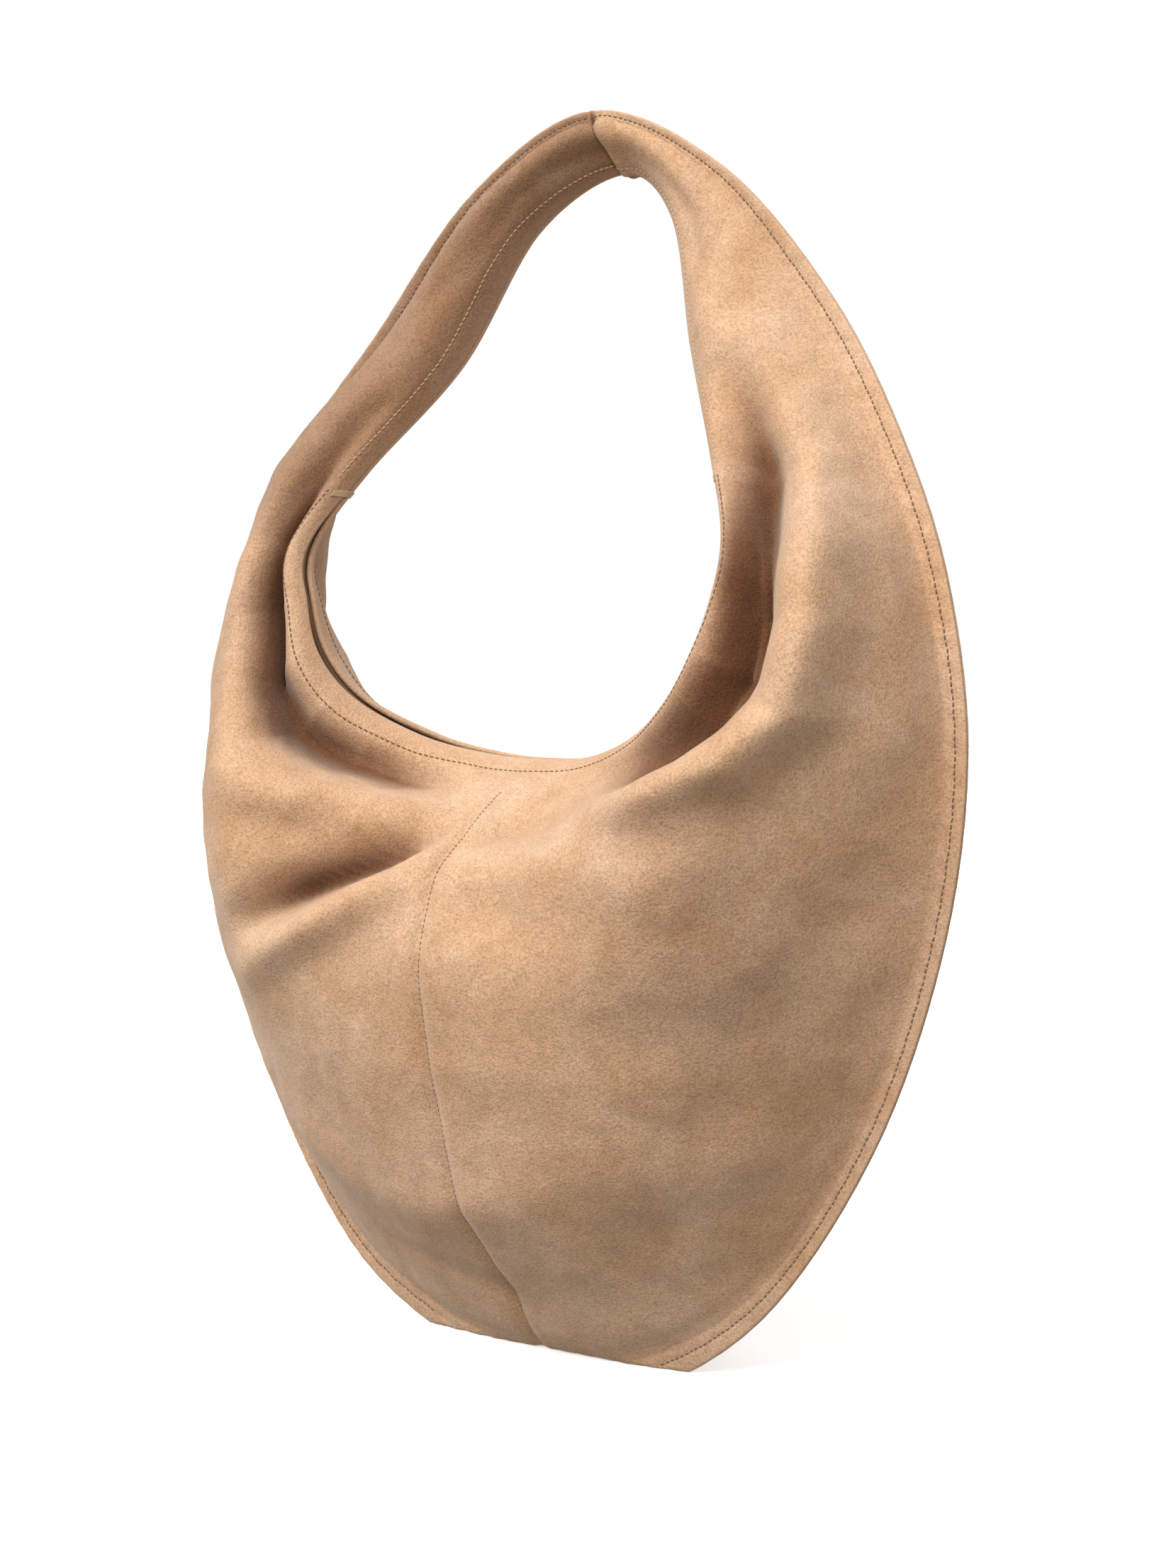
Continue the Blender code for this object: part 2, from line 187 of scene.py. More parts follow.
# Folds of each face, as lines over the bag's plane: how far to each side the fold reaches, then its
# points as x, z and height. A valley has a height below nothing.
FRONT_FOLDS = (
    # right of the mouth: a deep valley beside the lip, and the crest outside it
    (0.0150, ((0.096, 0.478, -0.001), (0.112, 0.452, -0.007), (0.130, 0.424, -0.014),
              (0.139, 0.392, -0.022), (0.142, 0.358, -0.031), (0.138, 0.333, -0.037),
              (0.119, 0.311, -0.032), (0.095, 0.298, -0.021), (0.070, 0.289, -0.010),
              (0.042, 0.281, -0.001))),
    (0.0080, ((0.104, 0.474, -0.002), (0.122, 0.448, -0.006), (0.141, 0.420, -0.010),
              (0.151, 0.390, -0.015), (0.156, 0.356, -0.019), (0.154, 0.332, -0.018),
              (0.143, 0.315, -0.016), (0.126, 0.304, -0.014), (0.106, 0.296, -0.010),
              (0.086, 0.288, -0.005))),
    (0.0120, ((0.112, 0.484, 0.003), (0.134, 0.456, 0.009), (0.155, 0.424, 0.014), (0.167, 0.388, 0.019),
              (0.172, 0.350, 0.022), (0.171, 0.316, 0.022), (0.152, 0.296, 0.018), (0.126, 0.284, 0.013),
              (0.098, 0.275, 0.008), (0.072, 0.266, 0.003))),
    (0.0220, ((0.158, 0.440, 0.000), (0.178, 0.400, 0.006), (0.190, 0.360, 0.009), (0.192, 0.310, 0.009),
              (0.180, 0.270, 0.006), (0.160, 0.240, 0.000))),
    # left of the mouth: a hollow under the lip, a roll, then a crease and the ridge that pulls to the seam
    (0.0080, ((-0.096, 0.472, -0.002), (-0.110, 0.449, -0.008), (-0.123, 0.422, -0.015),
              (-0.131, 0.397, -0.023), (-0.131, 0.363, -0.028), (-0.123, 0.333, -0.031),
              (-0.106, 0.308, -0.029), (-0.083, 0.292, -0.024), (-0.058, 0.282, -0.016),
              (-0.034, 0.277, -0.006), (-0.016, 0.275, 0.000))),
    (0.0110, ((-0.136, 0.290, 0.000), (-0.112, 0.281, 0.007), (-0.084, 0.271, 0.013),
              (-0.054, 0.265, 0.012), (-0.028, 0.263, 0.005))),
    (0.0095, ((-0.118, 0.206, -0.001), (-0.098, 0.217, -0.010), (-0.077, 0.229, -0.021),
              (-0.056, 0.238, -0.022), (-0.033, 0.247, -0.017), (-0.016, 0.255, -0.008),
              (-0.006, 0.261, 0.000))),
    (0.0110, ((-0.118, 0.184, 0.001), (-0.088, 0.201, 0.009), (-0.056, 0.218, 0.012),
              (-0.030, 0.231, 0.012), (-0.010, 0.244, 0.007), (0.002, 0.255, 0.002))),
    # the belly above the base: fuller, with a dent under it
    (0.0150, ((-0.120, 0.130, 0.001), (-0.100, 0.104, 0.003), (-0.070, 0.082, 0.003),
              (-0.030, 0.076, 0.004), (0.010, 0.083, 0.005), (0.045, 0.092, 0.002))),
    (0.0060, ((-0.086, 0.066, -0.001), (-0.066, 0.050, -0.003), (-0.034, 0.044, -0.003),
              (-0.006, 0.034, -0.003), (0.010, 0.024, -0.001))),
    # right of the centre seam: a small pinch below the lip, and the swelling beside it
    (0.0065, ((0.004, 0.250, -0.003), (0.016, 0.256, -0.007), (0.034, 0.262, -0.005),
              (0.055, 0.266, 0.000))),
    (0.0140, ((0.022, 0.240, 0.003), (0.055, 0.248, 0.006), (0.090, 0.250, 0.004))),
    (0.0100, ((0.006, 0.224, 0.000), (0.022, 0.226, -0.003), (0.042, 0.224, -0.003),
              (0.060, 0.216, 0.000))),
    # lower right, a shallow slack fold towards the base
    (0.0160, ((0.050, 0.062, 0.000), (0.070, 0.064, -0.004), (0.092, 0.076, -0.005),
              (0.115, 0.100, -0.001))),
    # left strap: a trough along its middle; right strap: a soft dent, a swelling, the start of the valley
    (0.0100, ((-0.116, 0.476, 0.000), (-0.098, 0.498, -0.003), (-0.076, 0.526, -0.004),
              (-0.052, 0.556, -0.003), (-0.030, 0.576, 0.000))),
    (0.0100, ((0.030, 0.580, 0.000), (0.050, 0.558, -0.003), (0.068, 0.530, -0.004),
              (0.078, 0.512, 0.000))),
    (0.0120, ((0.070, 0.512, 0.000), (0.084, 0.498, 0.005), (0.098, 0.482, 0.004), (0.108, 0.468, 0.001))),
)
BACK_FOLDS = (
    # a valley beside each end of the mouth
    (0.0140, ((0.118, 0.430, -0.002), (0.142, 0.395, -0.008), (0.146, 0.362, -0.010),
              (0.134, 0.330, -0.009), (0.105, 0.305, -0.006), (0.070, 0.286, -0.002))),
    (0.0140, ((-0.118, 0.430, -0.002), (-0.142, 0.395, -0.008), (-0.146, 0.362, -0.010),
              (-0.134, 0.330, -0.009), (-0.105, 0.305, -0.006), (-0.070, 0.286, -0.002))),
    # folds that fan out to both sides from below the middle of the lip
    (0.0180, ((0.150, 0.215, 0.001), (0.105, 0.222, 0.005), (0.060, 0.234, 0.006), (0.020, 0.254, 0.003))),
    (0.0200, ((-0.140, 0.250, -0.002), (-0.095, 0.240, -0.006), (-0.050, 0.244, -0.004),
              (-0.015, 0.256, 0.000))),
    (0.0180, ((-0.140, 0.180, 0.001), (-0.090, 0.196, 0.005), (-0.045, 0.216, 0.005),
              (-0.015, 0.240, 0.001))),
    # slack towards the base, and a dent in the right of the strap
    (0.0120, ((-0.125, 0.105, 0.000), (-0.088, 0.074, -0.004), (-0.050, 0.055, -0.003),
              (-0.020, 0.045, 0.000))),
    (0.0120, ((0.125, 0.105, 0.000), (0.088, 0.074, -0.004), (0.050, 0.055, -0.003),
              (0.020, 0.045, 0.000))),
    (0.0100, ((0.122, 0.468, -0.002), (0.100, 0.500, -0.004), (0.076, 0.534, -0.004),
              (0.045, 0.565, -0.002))),
)
FOLDS = {FRONT: FRONT_FOLDS, BACK: BACK_FOLDS}


def smooth(t):
    t = np.clip(t, 0, 1)
    return t * t * (3 - 2 * t)


LEFT = (STATIONS + LEFT_MORE) * MIRROR_X
ROUND_THE_RING = np.vstack([STATIONS[-2], LEFT[::-1], STATIONS[1:], LEFT[-2]])


def station(k):
    """The values of a row at k, on a smooth curve that runs round the whole ring."""
    from_top = np.clip(k, 1e-9 - TOP_K, TOP_K - 1e-9) + TOP_K
    i = np.floor(from_top).astype(int)
    s = (from_top - i)[..., None]
    a, b, c, d = (ROUND_THE_RING[i + step] for step in range(4))
    slope = (c - a) * s
    bend = (2 * a - 5 * b + 4 * c - d) * s ** 2
    twist = (3 * b - a - 3 * c + d) * s ** 3
    return 0.5 * (2 * b + slope + bend + twist)


def width(k):
    """Distance across the sheet from the outer seam to the inner edge, in the bag's plane."""
    row = station(k)
    return np.hypot(row[..., 0] - row[..., 3], row[..., 2] - row[..., 6])


def fold_line(k):
    """v of the inner side of the sewn flange."""
    return np.minimum(FLANGE / width(k), NARROW)


def hem_line(k):
    """v of the outer side of the hem along the inner edge."""
    return 1 - np.minimum(HEM / width(k), NARROW)


def swell(k, w, crest):
    """Share of the greatest swell at w: a quick rise from the outer seam, a crest, a fall to the lip."""
    power = np.interp(k, RISE_STATIONS, RISE_POWER)
    rounding = np.interp(k, RISE_STATIONS, RISE_ROUND)
    rise = np.clip(w / crest, 0, 1)
    fall = np.clip((w - crest) / (1 - crest), 0, 1)
    up = (1 - (1 - rise) ** power) ** (1 / rounding)
    down = np.clip(1 - fall ** FALL_POWER, 0, 1) ** (1 / FALL_ROUND)
    return np.where(w < crest, up, down)


def filled_shape(face, k, v):
    """Points on the middle of the suede, as the paper inside holds it before it folds."""
    ox, oy, oz, ix, front_y, back_y, iz, front_h, back_h, crest = np.moveaxis(station(k), -1, 0)
    inner_y, height = (front_y, front_h) if face == FRONT else (back_y, back_h)
    flange = fold_line(k)
    w = np.clip((v - flange) / (1 - flange), 0, 1)
    x = ox + (ix - ox) * v
    y = oy + (inner_y - oy) * smooth(w) + face * (height * swell(np.abs(k), w, crest) + HALF_BUILD)
    free_z = np.maximum(oz, 0) + (iz - np.maximum(oz, 0)) * v
    z = np.maximum(free_z - FLOOR_PRESS * np.exp(-free_z / PRESS_HEIGHT), 0)
    y = y + face * SPREAD * (free_z - z) * np.clip(v / flange, 0, 1)
    return np.stack([x, y + SHIFT_Y, z + SUEDE / 2], -1)


def facing_out(make, face, k, v):
    """Unit normals, out of the bag, of the surface that make(face, k, v) gives."""
    step = 0.006
    k = np.clip(k, step - TOP_K, TOP_K - step)
    along = make(face, k + step, v) - make(face, k - step, v)
    low, high = np.maximum(v - step, 0), np.minimum(v + step, 1)
    across = make(face, k, high) - make(face, k, low)
    normal = np.cross(along, across) * -face
    return normal / np.linalg.norm(normal, axis=-1, keepdims=True)


def fold_height(face, place, wider=None):
    """Height of a face's folds at points in its plane; with wider, of its valleys alone, so much wider."""
    x, z = place[..., 0], place[..., 2]
    total = np.zeros(x.shape)
    for reach, line in FOLDS[face]:
        line = np.array(line)
        if wider is not None:
            if line[:, 2].sum() > 0:
                continue
            reach += wider
        best, height = np.full(x.shape, np.inf), np.zeros(x.shape)
        for (ax, az, ah), (bx, bz, bh) in zip(line[:-1], line[1:]):
            dx, dz = bx - ax, bz - az
            share = np.clip(((x - ax) * dx + (z - az) * dz) / (dx * dx + dz * dz), 0, 1)
            away = np.hypot(x - ax - share * dx, z - az - share * dz)
            height = np.where(away < best, ah + (bh - ah) * share, height)
            best = np.minimum(away, best)
        total += height * np.exp(-(best / reach) ** 2)
    return total


# Slack in the suede: soft lumps of several sizes, each a few waves that cross at odd angles.
dice = np.random.default_rng(7)
LUMPS = []
for length, height, count in ((0.110, 0.0011, 7), (0.045, 0.0005, 9), (0.018, 0.00016, 12)):
    heading = dice.normal(size=(count, 3))
    heading /= np.linalg.norm(heading, axis=1, keepdims=True)
    starts = dice.uniform(0, 2 * np.pi, count)
    LUMPS.append((heading * 2 * np.pi / length, starts, height / math.sqrt(count / 2)))
BACK_START = 1.3

edge_k = np.linspace(0, TOP_K, 2001)
edge_run = station(edge_k)[:, :3]
edge_run = np.concatenate([[0], np.cumsum(np.linalg.norm(np.diff(edge_run, axis=0), axis=1))])
# How far the sheet is held flat, in from its outer edge (a share of the flange) and from the lip, and
# over how much more it grows free to fold.
FLANGE_HELD = 0.9
FLANGE_FREER = 0.014
LIP_HELD = 0.003
LIP_FREER = 0.012
LEFT_LIP_HELD = 0.002
LEFT_LIP_FREER = 0.009
FOLD_AIM = np.array((0.35, 1.0, 0.35))
# The two rows of topstitching: where they run, how deep and how wide they press into the suede.
STITCH_IN_FLANGE = 0.52
LIP_STITCH = 0.0050
STITCH_SINK = 0.00035
STITCH_REACH = 0.0011
# Puckers that the outer row draws up, about 12 mm apart and never quite even.
PUCKER = 0.00030
PUCKER_LENGTH = 0.0125
PUCKER_REACH = 0.006
PUCKER_UNEVEN = 1.7
PUCKER_DRIFT = 41
# The groove of the centre seam: it fades out at the hem of the lip and at the outer edge.
SEAM_SINK = 0.0030
SEAM_REACH = 0.0036
SEAM_FROM_LIP = 0.020
SEAM_LIP_FADE = 0.014
SEAM_FROM_EDGE = 0.006
SEAM_EDGE_FADE = 0.010
# The seam across the top of the strap, and the right half that stands higher beside it.
TOP_RUN = 0.074
TOP_SINK = 0.0022
TOP_REACH = 0.0022
TOP_STEP = 0.0024
STEP_REACH = 0.008
STEP_EDGE_FADE = 0.006


def edge_stitch(k):
    """v of the topstitching along the outer edge, 6 mm in."""
    return STITCH_IN_FLANGE * fold_line(k)


def lip_stitch(k):
    """v of the topstitching along the inner edge, 5 mm in."""
    return 1 - LIP_STITCH / HEM * (1 - hem_line(k))


def to_top(k):
    """Distance along the strap to the seam across its top."""
    return (TOP_K - np.abs(k)) * TOP_RUN


def free_share(face, k, v):
    """How freely the sheet may fold: not on the sewn flange, and hardly on the hem along the inner edge."""
    from_edge, from_lip = v * width(k), (1 - v) * width(k)
    left_front = (k < 0) & (face == FRONT)
    held = np.where(left_front, LEFT_LIP_HELD, LIP_HELD)
    freer = np.where(left_front, LEFT_LIP_FREER, LIP_FREER)
    return smooth((from_edge - FLANGE * FLANGE_HELD) / FLANGE_FREER) * smooth((from_lip - held) / freer)


def suede(face, k, v):
    """Points on the middle of the suede, with its folds, slack, puckers and the grooves of its seams."""
    place = filled_shape(face, k, v)
    normal = facing_out(filled_shape, face, k, v)
    across = width(k)
    from_edge = v * across
    from_lip = (1 - v) * across
    free = free_share(face, k, v)
    aim = normal * FOLD_AIM
    aim /= np.linalg.norm(aim, axis=-1, keepdims=True)
    folded = place + (fold_height(face, place) * free)[..., None] * aim
    out = np.zeros(k.shape)
    for headings, starts, height in LUMPS:
        wave = np.sin(place @ headings.T + starts + (BACK_START if face == BACK else 0)).sum(-1)
        out = out + wave * height * free
    run = np.interp(np.abs(k), edge_k, edge_run) * np.sign(k)
    pucker = np.sin(run * 2 * np.pi / PUCKER_LENGTH + PUCKER_UNEVEN * np.sin(run * PUCKER_DRIFT) + face)
    inward = from_edge - STITCH_IN_FLANGE * FLANGE
    out = out + PUCKER * pucker * np.exp(-np.abs(inward) / PUCKER_REACH)
    for line in (edge_stitch(k), lip_stitch(k)):
        out = out - STITCH_SINK * np.exp(-((v - line) * across / STITCH_REACH) ** 2)
    seam = np.exp(-(place[..., 0] / SEAM_REACH) ** 2) * smooth((from_lip - SEAM_FROM_LIP) / SEAM_LIP_FADE)
    out = out - SEAM_SINK * seam * smooth((from_edge - SEAM_FROM_EDGE) / SEAM_EDGE_FADE)
    out = out - TOP_SINK * np.exp(-(to_top(k) / TOP_REACH) ** 2)
    step = np.where(k > 0, TOP_STEP, 0) * np.exp(-((to_top(k) - STEP_REACH) / STEP_REACH) ** 2)
    out = out + step * smooth(from_edge / STEP_EDGE_FADE)
    lifted = folded + out[..., None] * normal
    lifted[..., 2] = np.maximum(lifted[..., 2], SUEDE / 2)
    return lifted


# Painted shade, darkening the suede's colour: hollows from this deep and this much deeper, clear of the lips,
HOLLOW_FROM = 0.001
HOLLOW_DEEP = 0.018
RIGHT_LIP_CLEAR = -0.003
LEFT_LIP_CLEAR = 0.001
# a darker tone on the left strap and shoulder (how much darker, from where on k, growing over how much of k),
LEFT_STRAP_DARKER = (0.62, 5.7, 1.3)
LEFT_SHOULDER_DARKER = (0.17, 2.4, 1.8)
SHOULDER_BELOW = 0.85
SHOULDER_FADE = 0.2
# and painted shade in the groove of the seam across the top, and on a patch at the lower right of the belly.
TOP_SEAM_SHADE = 0.9
TOP_SEAM_REACH = 0.0016
PATCH_SHADE = 0.30
PATCH_X = 0.140
PATCH_Z = 0.200
PATCH_REACH = 0.050


def painted_shade_and_darkening(face, k, v):
    """How far the suede is darkened, 0 to 1: painted shade in hollows, the top seam's groove and a patch, and
    a darker left strap and shoulder.
    """
    place = filled_shape(face, k, v)
    from_lip = (1 - v) * width(k)
    clear = np.where(k > 0, RIGHT_LIP_CLEAR, LEFT_LIP_CLEAR)
    depth = -fold_height(face, place) * smooth((from_lip - clear) / LIP_FREER)
    hollow_shade = smooth((depth - HOLLOW_FROM) / HOLLOW_DEEP)
    seam_shade = TOP_SEAM_SHADE * np.exp(-(to_top(k) / TOP_SEAM_REACH) ** 2)
    strap, shoulder = (dark_tone_and_painted_shade * smooth((-k - start) / span) * (face == FRONT)
                       for dark_tone_and_painted_shade, start, span in (LEFT_STRAP_DARKER, LEFT_SHOULDER_DARKER))
    shoulder = shoulder * smooth((SHOULDER_BELOW - v) / SHOULDER_FADE)
    away = np.hypot(place[..., 0] - PATCH_X, place[..., 2] - PATCH_Z)
    patch_shade = PATCH_SHADE * np.exp(-(away / PATCH_REACH) ** 2) * (face == FRONT)
    return np.max([hollow_shade, seam_shade, strap, shoulder, patch_shade], axis=0)


def layer(face, k, v, out=0.0):
    """Points on a layer that lies out metres outside the middle of the suede."""
    k, v = np.asarray(k, float), np.asarray(v, float)
    return suede(face, k, v) + out * facing_out(suede, face, k, v)


# how far a sheet's rim stands out, as a share of its thickness
RIM_ROUND = 0.35


def closed_sheet(name, middle, normal, thick, face, marks=()):
    """A cut sheet as one closed mesh: both surfaces, and a rounded rim all round.
    marks are (name, value at each point of the grid) and stay with the mesh for its material."""
    columns, lines = middle.shape[:2]
    count = columns * lines
    index = np.arange(count).reshape(columns, lines)
    loop = np.concatenate([index[:, 0], index[-1, 1:], index[-2::-1, -1], index[0, -2:0:-1]])
    flat_middle, flat_normal = middle.reshape(-1, 3), normal.reshape(-1, 3)
    rim = flat_middle[loop]
    inner = np.concatenate([index[:, 1], index[-2, 1:], index[-2::-1, -2], index[1, -2:0:-1]])
    away = rim - flat_middle[inner]
    away /= np.maximum(np.linalg.norm(away, axis=1, keepdims=True), 1e-9)
    points = np.concatenate([
        flat_middle + flat_normal * thick / 2,
        flat_middle - flat_normal * thick / 2,
        rim + away * thick * RIM_ROUND,
    ])
    a, b, c, d = index[:-1, :-1], index[1:, :-1], index[1:, 1:], index[:-1, 1:]
    top = np.stack([a, b, c, d], -1).reshape(-1, 4)
    rim_index = 2 * count + np.arange(len(loop))
    nxt = np.roll(np.arange(len(loop)), -1)
    upper = np.stack([loop, rim_index, rim_index[nxt], loop[nxt]], -1)
    lower = np.stack([rim_index, loop + count, loop[nxt] + count, rim_index[nxt]], -1)
    faces = np.concatenate([top, top[:, ::-1] + count, upper, lower])
    if face == BACK:
        faces = faces[:, ::-1]
    mesh = bpy.data.meshes.new(name)
    mesh.from_pydata(points.tolist(), [], faces.tolist())
    mesh.shade_smooth()
    rest = mesh.attributes.new("rest_place", "FLOAT_VECTOR", "POINT")
    rest.data.foreach_set("vector", points.astype(np.float32).ravel())
    for mark, values in marks:
        values = values.reshape(-1)
        kept = mesh.attributes.new(mark, "FLOAT", "POINT")
        kept.data.foreach_set("value", np.concatenate([values, values, values[loop]]).astype(np.float32))
    return in_scene(name, mesh)


def node(tree, kind, inputs=(), **settings):
    """A node with its settings, and its inputs either set or linked."""
    made = tree.nodes.new(kind)
    for key, value in settings.items():
        setattr(made, key, value)
    for key, value in dict(inputs).items():
        if isinstance(value, bpy.types.NodeSocket):
            tree.links.new(value, made.inputs[key])
        else:
            made.inputs[key].default_value = value
    return made


def mixed(tree, kind, share, first, second):
    """A colour mix of the given kind."""
    made = tree.nodes.new("ShaderNodeMix")
    made.data_type = "RGBA"
    made.blend_type = kind
    for socket, value in ((made.inputs[0], share), (made.inputs[6], first), (made.inputs[7], second)):
        if isinstance(value, bpy.types.NodeSocket):
            tree.links.new(value, socket)
        else:
            socket.default_value = value
    return made.outputs[2]


def ramp(tree, source, stops):
    """A colour ramp through the given stops."""
    made = tree.nodes.new("ShaderNodeValToRGB")
    tree.links.new(source, made.inputs[0])
    while len(made.color_ramp.elements) < len(stops):
        made.color_ramp.elements.new(0.5)
    for element, (position, colour) in zip(made.color_ramp.elements, stops):
        element.position = position
        element.color = colour
    return made.outputs[0]


def grey(level):
    return (level, level, level, 1)


def suede_finish(name, nap, dark_tone_and_painted_shade, brushed):
    """Brushed suede: a short nap with fine grain, patches where it lies the other way, rubbed edges, and
    painted shade and a darker tone where the mesh marks them.
    """
    material, tree, shader = blank_finish(name)
    place = node(tree, "ShaderNodeAttribute", attribute_name="rest_place").outputs["Vector"]
    worn = node(tree, "ShaderNodeAttribute", attribute_name="rubbed").outputs["Fac"]
    shade_and_darkening = node(tree, "ShaderNodeAttribute", attribute_name="dark_tone_and_painted_shade").outputs["Fac"]
    patches = node(tree, "ShaderNodeTexNoise",
                   {"Vector": place, "Scale": 17.0, "Detail": 5.0, "Roughness": 0.62, "Distortion": 0.8})
    colour = ramp(tree, patches.outputs["Fac"], ((0.34, dark_tone_and_painted_shade), (0.50, nap), (0.68, brushed)))
    strokes = node(tree, "ShaderNodeTexNoise",
                   {"Vector": place, "Scale": 75.0, "Detail": 5.0, "Roughness": 0.7, "Distortion": 1.2})
    colour = mixed(tree, "MULTIPLY", 1.0, colour,
                   ramp(tree, strokes.outputs["Fac"], ((0.30, grey(0.90)), (0.70, grey(1.07)))))
    grain = node(tree, "ShaderNodeTexNoise",
                 {"Vector": place, "Scale": 880.0, "Detail": 3.0, "Roughness": 0.6, "Distortion": 0.2})
    colour = mixed(tree, "MULTIPLY", 1.0, colour,
                   ramp(tree, grain.outputs["Fac"],
                        ((0.30, grey(0.70)), (0.50, grey(1.0)), (0.70, grey(1.22)))))
    # painted shade in hollows, the top seam's groove and a patch, and a darker left strap: the colour is
    # darkened towards deep brown
    colour = mixed(tree, "MULTIPLY", 1.0, colour,
                   ramp(tree, shade_and_darkening, ((0.0, grey(1.0)), (1.0, (0.27, 0.19, 0.145, 1)))))
    colour = mixed(tree, "MIX", worn, colour, brushed)
    tree.links.new(colour, shader.inputs["Base Color"])
    slack = node(tree, "ShaderNodeTexNoise",
                 {"Vector": place, "Scale": 140.0, "Detail": 3.0, "Roughness": 0.55})
    soft = node(tree, "ShaderNodeBump",
                {"Height": slack.outputs["Fac"], "Strength": 0.35, "Distance": 0.0012})
    rough = node(tree, "ShaderNodeBump",
                 {"Height": grain.outputs["Fac"], "Strength": 0.85, "Distance": 0.0006,
                  "Normal": soft.outputs[0]})
    tree.links.new(rough.outputs[0], shader.inputs["Normal"])
    shader.inputs["Roughness"].default_value = 0.92
    shader.inputs["Specular IOR Level"].default_value = 0.15
    shader.inputs["Sheen Weight"].default_value = 0.30
    shader.inputs["Sheen Roughness"].default_value = 0.45
    shader.inputs["Sheen Tint"].default_value = (1.0, 0.90, 0.78, 1)
    return material


NAP = (0.560, 0.348, 0.210, 1)
NAP_LAID = (0.515, 0.300, 0.165, 1)
NAP_BRUSHED = (0.600, 0.392, 0.252, 1)
sand_suede = suede_finish("sand_suede", NAP, NAP_LAID, NAP_BRUSHED)

COLUMNS = 360
INTERIOR = 62
# The hem: the radius of its roll, lines over the roll and back inside, and the share of it they cover.
HEM_ROLL = 0.0008
HEM_TURN = 6
HEM_RETURN = 4
HEM_BACK = 0.9
# How much paler the cut outer edge and the lip are rubbed, and how far in.
RUB_EDGE = 0.40
RUB_LIP = 0.45
RUB_REACH = 0.0014


def sheet_lines(k):
    """v of every line of a panel's grid at k: close together at the flange and the hem."""
    fold, hem = fold_line(k), hem_line(k)
    shares = (0, 0.10, 0.22, 0.34, 0.42, 0.47, 0.52, 0.57, 0.62, 0.70, 0.82, 1.0)
    outer = [fold * share for share in shares]
    inside = [fold + (hem - fold) * share for share in np.linspace(0, 1, INTERIOR)[1:-1]]
    shares = (0, 0.20, 0.34, 0.42, 0.46, 0.50, 0.54, 0.60, 0.72, 0.86, 1.0)
    inner = [hem + (1 - hem) * share for share in shares]
    return np.stack(outer + inside + inner, -1)


def roll_over(edge, edge_normal, reach, radius, lines):
    """Lines of points and normals that turn half round from an edge, over and back under it."""
    turned, turned_normals = [], []
    for angle in np.linspace(0, np.pi, lines + 1)[1:]:
        turned.append(edge + radius * (np.sin(angle) * reach + (np.cos(angle) - 1) * edge_normal))
        turned_normals.append(np.cos(angle) * edge_normal + np.sin(angle) * reach)
    return turned, turned_normals


columns_k = np.linspace(0, TOP_K, COLUMNS)
for face_name, face in FACES:
    for side_name, side in SIDES:
        side_k = columns_k * side
        v = sheet_lines(side_k)
        k = np.repeat(columns_k[:, None], v.shape[1], 1) * side
        points = suede(face, k, v)
        normals = facing_out(suede, face, k, v)
        points[0, :, 0] = 0
        # the hem: the edge rolls over and runs back inside
        edge, edge_normal = points[:, -1], normals[:, -1]
        reach = edge - points[:, -2]
        reach -= (reach * edge_normal).sum(-1, keepdims=True) * edge_normal
        reach /= np.linalg.norm(reach, axis=-1, keepdims=True)
        turned, turned_normals = roll_over(edge, edge_normal, reach, HEM_ROLL, HEM_TURN)
        for share in np.linspace(0, 1, HEM_RETURN + 1)[1:]:
            back_v = 1 - (1 - hem_line(side_k)) * share * HEM_BACK
            turned.append(layer(face, side_k, back_v, -2 * HEM_ROLL))
            turned_normals.append(-facing_out(suede, face, side_k, back_v))
        points = np.concatenate([points, np.stack(turned, 1)], 1)
        normals = np.concatenate([normals, np.stack(turned_normals, 1)], 1)
        # rubbed light along the cut edge and the hem's roll
        across = width(side_k)[:, None]
        rub = RUB_EDGE * np.exp(-(v * across / RUB_REACH) ** 2)
        rub = rub + RUB_LIP * np.exp(-((1 - v) * across / RUB_REACH) ** 2)
        # and the painted shade of hollows, the top seam and a patch, with the darker left strap and shoulder
        rub, dark_tone_and_painted_shade = (np.concatenate([mark, np.repeat(mark[:, -1:], len(turned), 1)], 1)
                     for mark in (rub, painted_shade_and_darkening(face, k, v)))
        name = f"{face_name}_half_{side_name}"
        piece = closed_sheet(name, points, normals, SUEDE, face * side * -1,
                             (("rubbed", rub), ("dark_tone_and_painted_shade", dark_tone_and_painted_shade)))
        piece.data.materials.append(sand_suede)
        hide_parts(f"{face_name}_panel_{side_name}", f"{face_name}_strap_{side_name}")
        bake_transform(piece)

# ---- Facings ------------------------------------------------------------------------------------
# A 28 mm strip of smooth tan leather inside each lip, 1.2 mm thick. Its upper edge is turned over and
# stands just below the lip, its lower edge takes the lining, and it ends at the bar tacks.
FACING = 0.0012
FACING_WIDTH = 0.0280
FULL_WIDTH = 0.1200
FACING_OUT = -0.0034
FACING_DROP = 0.0016
FACING_ROLL = 0.0012
FACING_TURN = 6
FACING_COLUMNS = 440
FACING_LINES = 12
# The layers inside the suede: how much wider than its folds theirs are, and how they clear its seam.
LAYER_WIDER = 0.0040
LAYER_SEAM = 0.0024
LAYER_SEAM_REACH = 0.009
LAYER_FROM_LIP = 0.012
LAYER_LIP_FADE = 0.016


